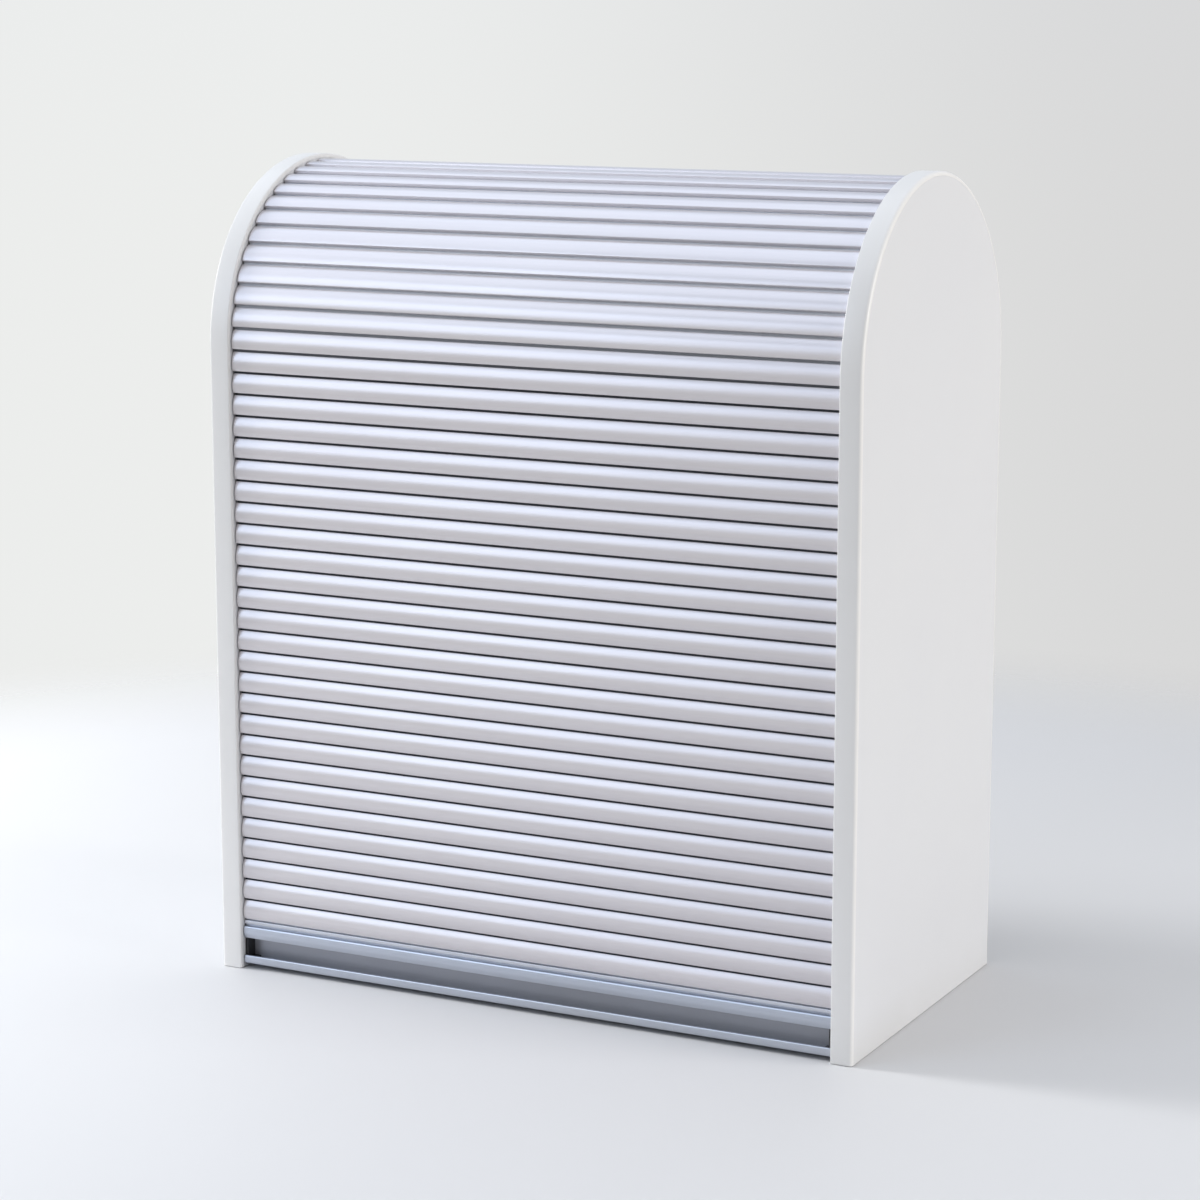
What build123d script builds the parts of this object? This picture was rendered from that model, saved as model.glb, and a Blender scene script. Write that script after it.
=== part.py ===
from build123d import *
import math
import os

# Roll-front cabinet, millimetres. Z is up, the front faces -Y, and the origin is on the
# floor under the middle of the cabinet.

# Overall sizes
cabinet_width = 500.0
cabinet_depth = 260.0
board = 16.0
front_slats = 27

# Edging of the side panels
edge_band = 3.0
edge_bevel = 1.8
glue_line = 0.05

# Slats of the roll front, in their own section: u runs up the chain, v points outwards,
# and the hooks of two neighbours turn about the same point
slat_pitch = 15.5
slat_crown = 4.4
slat_crest = 4.5
slat_nose = 3.6
slat_edge = 1.8
slat_back = 2.6
crown_inset = 3.5
face_gap = 1.6
face_drop = 1.6
bulb_radius = 1.5
bulb_side_count = 5
hook_clearance = 0.55
hook_mouth = 1.15
socket_side_count = 5
neck = 1.5
shoulder_drop = 0.4
face_end_gap = 0.8

# Tongues at the slat ends, and the guide channels that they run in
tongue_start = 2.5
tongue_length = 9.2
tongue_front = 0.6
tongue_reach = 6.0
run_clearance = 0.3
end_play = 1.0
guide_wall = 1.0
groove_clearance = 0.1
front_guide_foot = 3.0
rear_guide_foot = 24.0

# Handle rail, a C-section that the lowest slat hooks on to
handle_bottom = 3.2
handle_height = 28.0
handle_hook_rise = 7.3
bottom_lip = 6.0
top_lip = 9.0
handle_wall = 1.8
handle_depth = 13.0
handle_collar = 4.4
handle_collar_height = 4.4
handle_round = 1.2
lip_round = 0.8
handle_end_gap = 3.0
cap_plug = 5.0
cap_plate = 1.2
cap_fit = 0.15
cap_tongue_rise = 5.0
cap_tongue_drop = 1.0

# Tail bar at the hidden end of the roll front
tail_length = 28.0
tail_front = 3.4

# Boards, shelves and backs
board_fit = 0.05
board_front_gap = 1.5
bottom_board_height = 18.0
top_board_drop = 11.0
back_sheet = 3.0
rear_run_gap = 4.5
back_run_gap = 0.5
kerf_depth = 5.0
kerf_clearance = 0.1
rebate_width = 7.0
outer_back_foot = 2.0
outer_back_drop = 3.0
rail_foot = 2.0
rail_height = 16.0
shelf_heights = (155.0, 283.0)
shelf_end_gap = 1.0
shelf_set_back = 6.0
shelf_round = 1.5

# Fittings
pin_radius = 2.5
pin_fit = 0.05
pin_depth = 8.0
pin_hole_depth = 9.0
pin_head_radius = 3.5
pin_head_length = 7.0
pin_spread = 80.0
pin_seat = 0.1
cam_radius = 7.5
cam_depth = 12.5
cam_set_back = 24.0
cam_spread = 80.0
cam_sink = 0.5
cam_slot = 2.0
bolt_radius = 3.0
bolt_anchor = 10.0
fitting_clearance = 0.1
fitting_side_count = 12

# Worked out from the sizes above
arch_radius = cabinet_depth / 2
handle_top = handle_bottom + handle_height
handle_joint_height = handle_top + handle_hook_rise
recess_low = handle_bottom + bottom_lip
recess_high = handle_top - top_lip
cap_tongue_low = handle_bottom + cap_tongue_rise
cap_tongue_high = handle_top - cap_tongue_drop
straight_height = handle_joint_height + front_slats * slat_pitch
half_width = cabinet_width / 2
inner_half = half_width - board
run_radius = arch_radius - crown_inset - slat_crown
link_angle = 2 * math.asin(slat_pitch / 2 / run_radius)
chord_drop = run_radius * (1 - math.cos(link_angle / 2))
arch_links = math.floor(math.pi / link_angle)
socket_radius = bulb_radius + hook_clearance
face_half = inner_half - face_end_gap
guide_in = slat_back + chord_drop + run_clearance
guide_out = tongue_front + run_clearance
guide_depth = tongue_reach + end_play + guide_wall
handle_back = handle_depth - slat_crown
handle_half = inner_half - handle_end_gap
board_front = -(run_radius - handle_back - board_front_gap)
inner_back_rear = run_radius - slat_back - rear_run_gap
board_rear = inner_back_rear - back_sheet
outer_back_front = run_radius + slat_crown + back_run_gap
top_board_height = straight_height - top_board_drop - board
seat_half = inner_half - board_fit


def box(low, high):
    size = [b - a for a, b in zip(low, high)]
    middle = [(a + b) / 2 for a, b in zip(low, high)]
    return Pos(*middle) * Box(*size)


def both_sides(right):
    return mirror(right, about=Plane.YZ), right


def rod(start, end, radius):
    axis = Vector(*end) - Vector(*start)
    outline = RegularPolygon(radius, fitting_side_count)
    return extrude(Plane(origin=start, z_dir=axis) * outline, axis.length)


def arch_sheet(radius):
    outline = Line((-radius, 0), (-radius, straight_height))
    outline += ThreePointArc(
        (-radius, straight_height), (0, straight_height + radius), (radius, straight_height)
    )
    outline += Polyline((radius, straight_height), (radius, 0), (-radius, 0))
    return Plane.YZ * make_face(outline)


def arch_strip(inner, outer, front_foot, rear_foot):
    outline = Line((-outer, front_foot), (-outer, straight_height))
    outline += ThreePointArc(
        (-outer, straight_height), (0, straight_height + outer), (outer, straight_height)
    )
    outline += Polyline(
        (outer, straight_height), (outer, rear_foot), (inner, rear_foot), (inner, straight_height)
    )
    outline += ThreePointArc(
        (inner, straight_height), (0, straight_height + inner), (-inner, straight_height)
    )
    outline += Polyline((-inner, straight_height), (-inner, front_foot), (-outer, front_foot))
    return Plane.YZ * make_face(outline)


def slab(face, start, end):
    return Pos(start, 0, 0) * extrude(face, end - start, dir=(1, 0, 0))


# Roll front: hook section shared by the slats, the tail bar and the handle
def ring(radius, start, end, side_count):
    turns = [start + (end - start) * step / side_count for step in range(side_count + 1)]
    return [(radius * math.cos(turn), radius * math.sin(turn)) for turn in turns]


def socket_points():
    lip = math.pi - math.asin(hook_mouth / socket_radius)
    rear_lip = (slat_back * math.cos(lip), -slat_back * math.sin(lip))
    return [(0, -slat_back), rear_lip] + ring(socket_radius, -lip, lip, socket_side_count)


def bulb_points(centre):
    turn = math.pi - math.asin(neck / 2 / bulb_radius)
    return [(centre + u, v) for u, v in ring(bulb_radius, turn, -turn, bulb_side_count)]


def slat_section():
    socket = socket_points()
    face_start = (-face_drop, slat_nose)
    face_end = (slat_pitch - face_gap - face_drop, slat_edge)
    shoulder = face_end[0] - shoulder_drop
    outline = Polyline(*socket, face_start)
    outline += ThreePointArc(face_start, (slat_crest, slat_crown), face_end)
    outline += Polyline(
        face_end,
        (shoulder, neck / 2),
        *bulb_points(slat_pitch),
        (shoulder, -neck / 2),
        (shoulder, -slat_back),
        socket[0],
    )
    return make_face(outline)


def tail_section():
    return make_face(
        Polyline(
            *socket_points(),
            (-face_drop, slat_edge),
            (0, tail_front),
            (tail_length, tail_front),
            (tail_length, -slat_back),
            close=True,
        )
    )


def chain_bar(section, tongue_end):
    bar = Pos(0, 0, -face_half) * extrude(section, 2 * face_half)
    for side in (-1, 1):
        ends = sorted((side * face_half, side * (inner_half + tongue_reach)))
        bar += box((tongue_start, -slat_back, ends[0]), (tongue_end, tongue_front, ends[1]))
    return bar


def chain_joint(number):
    if number <= front_slats:
        return -run_radius, handle_joint_height + number * slat_pitch
    turn = min(number - front_slats, arch_links) * link_angle
    y = -run_radius * math.cos(turn)
    z = straight_height + run_radius * math.sin(turn)
    below = number - front_slats - arch_links
    if below > 0:
        z -= math.sqrt(slat_pitch**2 - (run_radius - y) ** 2)
        z -= (below - 1) * slat_pitch
        y = run_radius
    return y, z


def on_chain(bar, number):
    start = chain_joint(number)
    end = chain_joint(number + 1)
    up = (0, end[0] - start[0], end[1] - start[1])
    return Plane(origin=(0, *start), x_dir=up, z_dir=(1, 0, 0)) * bar


# Handle rail and its caps
def handle_plane(x):
    return Plane(origin=(x, -run_radius, 0), x_dir=(0, 0, 1), z_dir=(1, 0, 0))


def handle_section():
    inner_front = slat_crown - handle_wall
    inner_rear = handle_wall - handle_back
    collar_top = handle_top + handle_collar_height
    shell = make_face(
        Polyline(
            (handle_bottom, -handle_back),
            (handle_bottom, slat_crown),
            (handle_top, slat_crown),
            (handle_top, -handle_back),
            close=True,
        )
    )
    shell = fillet(shell.vertices().group_by(Axis.Y)[-1], handle_round)
    cavity = make_face(
        Polyline(
            (handle_bottom + handle_wall, inner_rear),
            (handle_bottom + handle_wall, inner_front),
            (handle_top - handle_wall, inner_front),
            (handle_top - handle_wall, inner_rear),
            close=True,
        )
    )
    mouth = make_face(
        Polyline(
            (recess_low, inner_rear),
            (recess_low, slat_crown + handle_wall),
            (recess_high, slat_crown + handle_wall),
            (recess_high, inner_rear),
            close=True,
        )
    )
    rail = shell - cavity - mouth
    lips = rail.vertices().group_by(Axis.Y)[-1].sort_by(Axis.X)[1:-1]
    rail = fillet(lips, lip_round)
    collar = make_face(
        Polyline(
            (handle_top - handle_wall, -handle_collar / 2),
            (handle_top - handle_wall, handle_collar / 2),
            (collar_top, handle_collar / 2),
            (collar_top, -handle_collar / 2),
            close=True,
        )
    )
    hook = make_face(
        Polyline(
            (handle_top, neck / 2),
            *bulb_points(handle_joint_height),
            (handle_top, -neck / 2),
            close=True,
        )
    )
    return rail + collar + hook


def handle_rail():
    return extrude(handle_plane(-handle_half) * handle_section(), 2 * handle_half)


def handle_cap():
    y_front = -run_radius - slat_crown
    y_rear = -run_radius + handle_back
    plate_end = handle_half + cap_plate
    inset = handle_wall + cap_fit
    plug = box(
        (handle_half - cap_plug, y_front + inset, handle_bottom + inset),
        (handle_half + cap_plate / 2, y_rear - inset, handle_top - inset),
    )
    plate = box((handle_half, y_front, handle_bottom), (plate_end, y_rear, handle_top))
    rounded = plate.edges().filter_by(Axis.X).group_by(Axis.Y)[0]
    plate = fillet(rounded, handle_round)
    tongue = box(
        (handle_half + cap_plate / 2, -run_radius - tongue_front, cap_tongue_low),
        (inner_half + tongue_reach, -run_radius + slat_back, cap_tongue_high),
    )
    return plug + plate + tongue


# Guides and stops
def guide():
    outside = arch_strip(
        run_radius - guide_in - guide_wall,
        run_radius + guide_out + guide_wall,
        front_guide_foot,
        rear_guide_foot,
    )
    inside = arch_strip(
        run_radius - guide_in,
        run_radius + guide_out,
        front_guide_foot - guide_wall,
        rear_guide_foot - guide_wall,
    )
    channel = slab(outside, inner_half, inner_half + guide_depth)
    return channel - slab(inside, inner_half - guide_wall, inner_half + guide_depth - guide_wall)


def stop(run, low, high):
    front = -guide_out + groove_clearance
    rear = guide_in - groove_clearance
    span = sorted((run * (run_radius - front), run * (run_radius - rear)))
    return box(
        (inner_half, span[0], low),
        (inner_half + tongue_reach + end_play - groove_clearance, span[1], high),
    )


# Fittings that go through more than one board
def pin_places():
    return [(y, z - pin_head_radius - pin_seat) for z in shelf_heights for y in (-pin_spread, pin_spread)]


def cam_places():
    heights = (bottom_board_height, top_board_height)
    return [(y, z + board / 2) for z in heights for y in (-cam_spread, cam_spread)]


def shelf_pin(y, z):
    shank = rod((inner_half, y, z), (inner_half + pin_depth, y, z), pin_radius - pin_fit)
    return shank + rod((inner_half - pin_head_length, y, z), (inner_half, y, z), pin_head_radius)


def cam_face(z):
    return z - board / 2 if z < straight_height / 2 else z + board / 2


def cam_lock(y, z):
    centre = seat_half - cam_set_back
    face = cam_face(z)
    inward = 1 if face < z else -1
    slot_half = cam_radius - cam_slot
    slot_end = face + inward * (cam_sink + cam_slot)
    lock = rod((centre, y, face + inward * cam_sink), (centre, y, face + inward * cam_depth), cam_radius)
    return lock - box(
        (centre - slot_half, y - cam_slot / 2, min(face, slot_end)),
        (centre + slot_half, y + cam_slot / 2, max(face, slot_end)),
    )


def cam_bolt(y, z):
    start = seat_half - cam_set_back + cam_radius + fitting_clearance
    return rod((start, y, z), (inner_half + bolt_anchor, y, z), bolt_radius)


# Side panels
def side_panel():
    panel = slab(arch_sheet(arch_radius - edge_band - glue_line), inner_half, half_width)
    groove = arch_strip(
        run_radius - guide_in - guide_wall - groove_clearance,
        run_radius + guide_out + guide_wall + groove_clearance,
        front_guide_foot - groove_clearance,
        rear_guide_foot - groove_clearance,
    )
    panel -= slab(groove, inner_half - guide_wall, inner_half + guide_depth + groove_clearance)
    panel -= box(
        (inner_half - kerf_depth, board_rear - kerf_clearance, bottom_board_height - kerf_clearance),
        (
            inner_half + kerf_depth,
            inner_back_rear + kerf_clearance,
            top_board_height + board + kerf_clearance,
        ),
    )
    panel -= rear_rebate()
    for y, z in pin_places():
        panel -= rod((inner_half, y, z), (inner_half + pin_hole_depth, y, z), pin_radius)
    for y, z in cam_places():
        depth = bolt_anchor + fitting_clearance
        panel -= rod((inner_half, y, z), (inner_half + depth, y, z), bolt_radius + fitting_clearance)
    return panel


def rear_rebate():
    return box(
        (inner_half - rebate_width, outer_back_front - kerf_clearance, -board),
        (inner_half + rebate_width, cabinet_depth, straight_height - outer_back_drop + kerf_clearance),
    )


def edge_strip():
    strip = slab(arch_strip(arch_radius - edge_band, arch_radius, 0, 0), inner_half, half_width)
    outer_arcs = strip.edges().filter_by(GeomType.CIRCLE).filter_by(lambda e: e.radius > run_radius)
    outer_arcs = outer_arcs.filter_by(lambda e: abs(e.radius - arch_radius) < edge_band / 2)
    uprights = strip.edges().filter_by(Axis.Z)
    uprights = uprights.filter_by(lambda e: abs(e.center().Y) > arch_radius - edge_band / 2)
    return chamfer(outer_arcs + uprights, edge_bevel) - rear_rebate()


# Boards
def joined_board(height):
    plank = box((-seat_half, board_front, height), (seat_half, board_rear, height + board))
    front_edges = plank.edges().filter_by(Axis.X).group_by(Axis.Y)[0]
    plank = fillet(front_edges, shelf_round)
    for y, z in cam_places():
        if height < z < height + board:
            face = cam_face(z)
            inward = 1 if face < z else -1
            centre = seat_half - cam_set_back
            depth = inward * (cam_depth + fitting_clearance)
            pocket = rod((centre, y, face), (centre, y, face + depth), cam_radius + fitting_clearance)
            bore = rod((centre, y, z), (seat_half, y, z), bolt_radius + fitting_clearance)
            for cut in both_sides(pocket + bore):
                plank -= cut
    return plank


def shelf(height):
    half = inner_half - shelf_end_gap
    plank = box(
        (-half, board_front + shelf_set_back, height), (half, board_rear - shelf_end_gap, height + board)
    )
    front_edges = plank.edges().filter_by(Axis.X).group_by(Axis.Y)[0]
    return fillet(front_edges, shelf_round)


def inner_back():
    half = inner_half + kerf_depth - kerf_clearance
    return box(
        (-half, board_rear, bottom_board_height), (half, inner_back_rear, top_board_height + board)
    )


def outer_back():
    half = inner_half + rebate_width - kerf_clearance
    return box(
        (-half, outer_back_front, outer_back_foot),
        (half, outer_back_front + back_sheet, straight_height - outer_back_drop),
    )


def rear_rail():
    return box((-seat_half, board_rear, rail_foot), (seat_half, outer_back_front, rail_foot + rail_height))


def mirrored_group(solids):
    return Compound(children=[copy for solid in solids for copy in both_sides(solid)])


parts = {}
parts["left_side_panel"], parts["right_side_panel"] = both_sides(side_panel())
parts["left_edge_band"], parts["right_edge_band"] = both_sides(edge_strip())
parts["left_guide"], parts["right_guide"] = both_sides(guide())
parts["bottom_board"] = joined_board(bottom_board_height)
parts["top_board"] = joined_board(top_board_height)
parts["lower_shelf"] = shelf(shelf_heights[0])
parts["upper_shelf"] = shelf(shelf_heights[1])
parts["inner_back_panel"] = inner_back()
parts["outer_back_panel"] = outer_back()
parts["rear_rail"] = rear_rail()

slat = chain_bar(slat_section(), tongue_start + tongue_length)
last_link = front_slats + arch_links
for number in range(front_slats - 1):
    parts[f"front_slat_{number + 1:02d}"] = on_chain(slat, number)
over_arch = [on_chain(slat, number) for number in range(front_slats - 1, last_link + 1)]
parts["arch_slats"] = Compound(children=over_arch)
tail_bar = chain_bar(tail_section(), tail_length - tongue_start)
parts["tail_bar"] = on_chain(tail_bar, last_link + 1)

parts["handle_rail"] = handle_rail()
parts["left_handle_cap"], parts["right_handle_cap"] = both_sides(handle_cap())
front_stop = stop(-1, front_guide_foot, cap_tongue_low - run_clearance)
parts["front_stops"] = mirrored_group([front_stop])
rear_stop = stop(1, rear_guide_foot, rear_guide_foot + tongue_length)
parts["rear_stops"] = mirrored_group([rear_stop])

parts["shelf_pins"] = mirrored_group([shelf_pin(y, z) for y, z in pin_places()])
parts["cam_locks"] = mirrored_group([cam_lock(y, z) for y, z in cam_places()])
parts["cam_bolts"] = mirrored_group([cam_bolt(y, z) for y, z in cam_places()])

os.makedirs("parts", exist_ok=True)
for name, solid in parts.items():
    export_step(solid, f"parts/{name}.step")
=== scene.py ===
import math
import bmesh
import bpy
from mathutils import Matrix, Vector


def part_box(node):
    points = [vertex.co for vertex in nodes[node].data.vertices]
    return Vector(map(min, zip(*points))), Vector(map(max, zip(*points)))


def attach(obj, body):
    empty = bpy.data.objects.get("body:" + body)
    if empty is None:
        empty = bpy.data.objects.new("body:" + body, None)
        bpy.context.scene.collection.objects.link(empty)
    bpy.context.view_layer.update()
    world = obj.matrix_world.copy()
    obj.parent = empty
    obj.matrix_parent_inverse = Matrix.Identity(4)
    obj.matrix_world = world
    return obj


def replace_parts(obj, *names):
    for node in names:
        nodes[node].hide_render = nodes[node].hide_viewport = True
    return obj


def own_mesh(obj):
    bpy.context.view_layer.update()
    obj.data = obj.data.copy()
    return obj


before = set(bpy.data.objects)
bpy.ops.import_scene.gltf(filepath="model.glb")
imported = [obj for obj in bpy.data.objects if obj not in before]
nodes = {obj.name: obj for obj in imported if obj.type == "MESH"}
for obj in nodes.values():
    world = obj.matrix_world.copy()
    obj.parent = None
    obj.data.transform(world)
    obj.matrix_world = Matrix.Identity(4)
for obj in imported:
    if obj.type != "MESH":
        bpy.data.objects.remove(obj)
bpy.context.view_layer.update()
scene = bpy.context.scene
scene.view_settings.view_transform = "Standard"
mm = 0.001
print("frame loaded:", len(nodes), "nodes")

cabinet = {
    "halfWidth": 250,
    "innerHalf": 234,
    "archRadius": 130,
    "straightHeight": 457,
}  # all sizes in mm, as in the part


# mesh helpers

def turned(first, last, share):
    return first.slerp(last, share).normalized() * first.length


def arcThrough(a, b, c, steps):
    ax, ay = a
    bx, by = b
    cx, cy = c
    d = 2 * (ax * (by - cy) + bx * (cy - ay) + cx * (ay - by))
    ma, mb, mc = ax * ax + ay * ay, bx * bx + by * by, cx * cx + cy * cy
    centre = Vector((ma * (by - cy) + mb * (cy - ay) + mc * (ay - by),
                     ma * (cx - bx) + mb * (ax - cx) + mc * (bx - ax))) / d
    first, last = Vector(a) - centre, Vector(c) - centre
    return [tuple(centre + turned(first, last, i / steps)) for i in range(steps + 1)]


def ringPoints(centre, radius, start, end, steps):
    turns = [start + (end - start) * i / steps for i in range(steps + 1)]
    return [(centre + radius * math.cos(t), radius * math.sin(t)) for t in turns]


def softOutline(corners, steps=4):
    points = []  # each corner is (u, v, round); a rounded one becomes a short arc
    for i, (u, v, size) in enumerate(corners):
        here = Vector((u, v))
        if not size:
            points.append((u, v))
            continue
        before = (Vector(corners[i - 1][:2]) - here).normalized()
        after = (Vector(corners[(i + 1) % len(corners)][:2]) - here).normalized()
        half = before.angle(after) / 2
        middle = here + (before + after).normalized() * size / math.sin(half)
        first = here + before * size / math.tan(half) - middle
        last = here + after * size / math.tan(half) - middle
        points += [tuple(middle + turned(first, last, s / steps)) for s in range(steps + 1)]
    return points


def addLoops(bm, loops):
    rings = [[bm.verts.new(p) for p in loop] for loop in loops]
    count = len(rings[0])
    sides = []
    for one, two in zip(rings, rings[1:]):
        for i in range(count):
            j = (i + 1) % count
            sides.append(bm.faces.new((one[i], one[j], two[j], two[i])))
    bm.faces.new(rings[0][::-1])
    bm.faces.new(rings[-1])
    return sides


def addBar(bm, outline, place, x0, x1, finishAt=None):
    sides = addLoops(bm, [[place(u, v, x) for u, v in outline] for x in (x0, x1)])
    for i, face in enumerate(sides):
        u, v = (Vector(outline[i]) + Vector(outline[(i + 1) % len(outline)])) / 2
        face.material_index = finishAt(u, v) if finishAt else 0


def addTurned(bm, profile, place, steps=28):
    loops = []  # profile is (along, radius), turned about the axis that place gives
    for along, radius in profile:
        turns = [2 * math.pi * i / steps for i in range(steps)]
        loops.append([place(along, radius * math.cos(t), radius * math.sin(t)) for t in turns])
    addLoops(bm, loops)


def finishPiece(name, bm, body, finishes, sharp=35):
    bmesh.ops.recalc_face_normals(bm, faces=bm.faces)
    for face in bm.faces:
        face.smooth = True
    for edge in bm.edges:
        edge.smooth = edge.calc_face_angle(0) < math.radians(sharp)
    mesh = bpy.data.meshes.new(name)
    bm.to_mesh(mesh)
    bm.free()
    piece = bpy.data.objects.new(name, mesh)
    scene.collection.objects.link(piece)
    for finish in finishes:
        piece.data.materials.append(finish)
    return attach(piece, body)


# shader helpers and shared effects

def put(tree, kind, spot, values=None, **settings):
    node = tree.nodes.new(kind)
    node.location = spot
    for key, value in settings.items():
        setattr(node, key, value)
    for key, value in (values or {}).items():
        node.inputs[key].default_value = value
    return node


def newGroup(name, inputs, outputs):
    group = bpy.data.node_groups.new(name, "ShaderNodeTree")
    kinds = {"float": "NodeSocketFloat", "colour": "NodeSocketColor"}
    for label, kind in inputs:
        group.interface.new_socket(label, in_out="INPUT", socket_type=kinds[kind])
    for label, kind in outputs:
        group.interface.new_socket(label, in_out="OUTPUT", socket_type=kinds[kind])
    return group, put(group, "NodeGroupInput", (-700, 0)), put(group, "NodeGroupOutput", (500, 0))


def makeRunLines():  # fine draw lines that follow an extrusion along X
    group, given, out = newGroup(
        "runLines", [("Density", "float")], [("Height", "float"), ("Streak", "float")])
    link = group.links.new
    coord = put(group, "ShaderNodeTexCoord", (-700, -200))
    stretch = put(group, "ShaderNodeMapping", (-500, -200), {"Scale": (0, 1, 1)})
    fine = put(group, "ShaderNodeTexNoise", (-280, 60), {"Detail": 4.0, "Roughness": 0.62})
    wide = put(group, "ShaderNodeTexNoise", (-280, -240), {"Scale": 140.0, "Detail": 2.0})
    blend = put(group, "ShaderNodeMix", (0, -100), {"Factor": 0.45})
    spread = put(group, "ShaderNodeMapRange", (220, -100), {"From Min": 0.34, "From Max": 0.66})
    link(coord.outputs["Object"], stretch.inputs["Vector"])
    link(stretch.outputs["Vector"], fine.inputs["Vector"])
    link(stretch.outputs["Vector"], wide.inputs["Vector"])
    link(given.outputs["Density"], fine.inputs["Scale"])
    link(fine.outputs["Fac"], blend.inputs["A"])
    link(wide.outputs["Fac"], blend.inputs["B"])
    link(blend.outputs["Result"], spread.inputs["Value"])
    link(fine.outputs["Fac"], out.inputs["Height"])
    link(spread.outputs["Result"], out.inputs["Streak"])
    return group


def makePearlSkin():  # the fine pebble of pressed melamine and moulded plastic
    group, given, out = newGroup("pearlSkin", [("Size", "float")], [("Height", "float")])
    link = group.links.new
    coord = put(group, "ShaderNodeTexCoord", (-700, -200))
    pebble = put(group, "ShaderNodeTexVoronoi", (-400, 0), feature="SMOOTH_F1")
    grit = put(group, "ShaderNodeTexNoise", (-400, -300), {"Detail": 3.0})
    blend = put(group, "ShaderNodeMix", (-100, -100), {"Factor": 0.5})
    link(coord.outputs["Object"], pebble.inputs["Vector"])
    link(coord.outputs["Object"], grit.inputs["Vector"])
    link(given.outputs["Size"], pebble.inputs["Scale"])
    link(given.outputs["Size"], grit.inputs["Scale"])
    link(pebble.outputs["Distance"], blend.inputs["A"])
    link(grit.outputs["Fac"], blend.inputs["B"])
    link(blend.outputs["Result"], out.inputs["Height"])
    return group


def makeSoftTone():  # slow drift of colour and gloss over a large face, with a little floor dust
    group, given, out = newGroup(
        "softTone",
        [("Base", "colour"), ("Drift", "colour"), ("Dust", "colour"),
         ("Gloss Low", "float"), ("Gloss High", "float")],
        [("Colour", "colour"), ("Rough", "float")],
    )
    link = group.links.new
    coord = put(group, "ShaderNodeTexCoord", (-900, -200))
    cloud = put(group, "ShaderNodeTexNoise", (-680, 0), {"Scale": 5.0, "Detail": 3.0, "Roughness": 0.55})
    patch = put(group, "ShaderNodeMapRange", (-460, 0), {"From Min": 0.35, "From Max": 0.65})
    parts = put(group, "ShaderNodeSeparateXYZ", (-680, -320))
    low = put(group, "ShaderNodeMapRange", (-460, -320),
              {"From Min": 0.03, "From Max": 0.0, "To Max": 0.5})  # the dust lies in the lowest 30 mm
    smear = put(group, "ShaderNodeMath", (-240, -320), operation="MULTIPLY")
    tone = put(group, "ShaderNodeMix", (-200, 100), data_type="RGBA")
    dusty = put(group, "ShaderNodeMix", (40, 100), data_type="RGBA")
    gloss = put(group, "ShaderNodeMapRange", (40, -160))
    link(coord.outputs["Object"], cloud.inputs["Vector"])
    link(coord.outputs["Object"], parts.inputs["Vector"])
    link(cloud.outputs["Fac"], patch.inputs["Value"])
    link(parts.outputs["Z"], low.inputs["Value"])
    link(low.outputs["Result"], smear.inputs[0])
    link(patch.outputs["Result"], smear.inputs[1])
    link(patch.outputs["Result"], tone.inputs["Factor"])
    link(given.outputs["Base"], tone.inputs["A"])
    link(given.outputs["Drift"], tone.inputs["B"])
    link(smear.outputs["Value"], dusty.inputs["Factor"])
    link(tone.outputs["Result"], dusty.inputs["A"])
    link(given.outputs["Dust"], dusty.inputs["B"])
    link(patch.outputs["Result"], gloss.inputs["Value"])
    link(given.outputs["Gloss Low"], gloss.inputs["To Min"])
    link(given.outputs["Gloss High"], gloss.inputs["To Max"])
    link(dusty.outputs["Result"], out.inputs["Colour"])
    link(gloss.outputs["Result"], out.inputs["Rough"])
    return group


runLines = makeRunLines()
pearlSkin = makePearlSkin()
softTone = makeSoftTone()
print("shared effects ready")


# materials

def startMaterial(name):
    material = bpy.data.materials.new(name)
    material.use_nodes = True
    return material, material.node_tree, material.node_tree.nodes["Principled BSDF"]


def fillGroup(tree, group, spot, values):
    return put(tree, "ShaderNodeGroup", spot, values, node_tree=group)


def toneFrom(tree, look, spot):
    return fillGroup(tree, softTone, spot, {
        "Base": look["base"], "Drift": look["drift"], "Dust": look["dust"],
        "Gloss Low": look["glossLow"], "Gloss High": look["glossHigh"]})


bumpDepth = {"pebble": 0.0002, "drawLines": 0.0001}  # in metres


def bumpFrom(tree, socket, shader, strength, distance):
    bump = put(tree, "ShaderNodeBump", (-220, -420), {"Strength": strength, "Distance": distance})
    tree.links.new(socket, bump.inputs["Height"])
    tree.links.new(bump.outputs["Normal"], shader.inputs["Normal"])


def boardMaterial(name, look):
    material, tree, shader = startMaterial(name)
    tone = toneFrom(tree, look, (-520, 200))
    skin = fillGroup(tree, pearlSkin, (-520, -300), {"Size": look["pebble"]})
    tree.links.new(tone.outputs["Colour"], shader.inputs["Base Color"])
    tree.links.new(tone.outputs["Rough"], shader.inputs["Roughness"])
    shader.inputs["Metallic"].default_value = look.get("metal", 0)
    shader.inputs["Specular IOR Level"].default_value = look["shine"]
    bumpFrom(tree, skin.outputs["Height"], shader, look["bump"], bumpDepth["pebble"])
    return material, tree, shader, tone


melamineLook = {
    "base": (0.80, 0.80, 0.81, 1), "drift": (0.785, 0.785, 0.80, 1), "dust": (0.70, 0.69, 0.67, 1),
    "glossLow": 0.36, "glossHigh": 0.46, "pebble": 900, "bump": 0.05, "shine": 0.45,
}
# the pin holes are painted on the inner faces as dark brown discs: the bare board inside, darkened as
# painted shade
pinRow = {  # the drilled rows for the shelf pins
    "y": 80, "first": 151.4, "step": 32, "low": 80, "high": 390, "radius": 2.5,
    "faceDepth": 0.5, "holePaintedShade": (0.10, 0.085, 0.07, 1),
}


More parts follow.
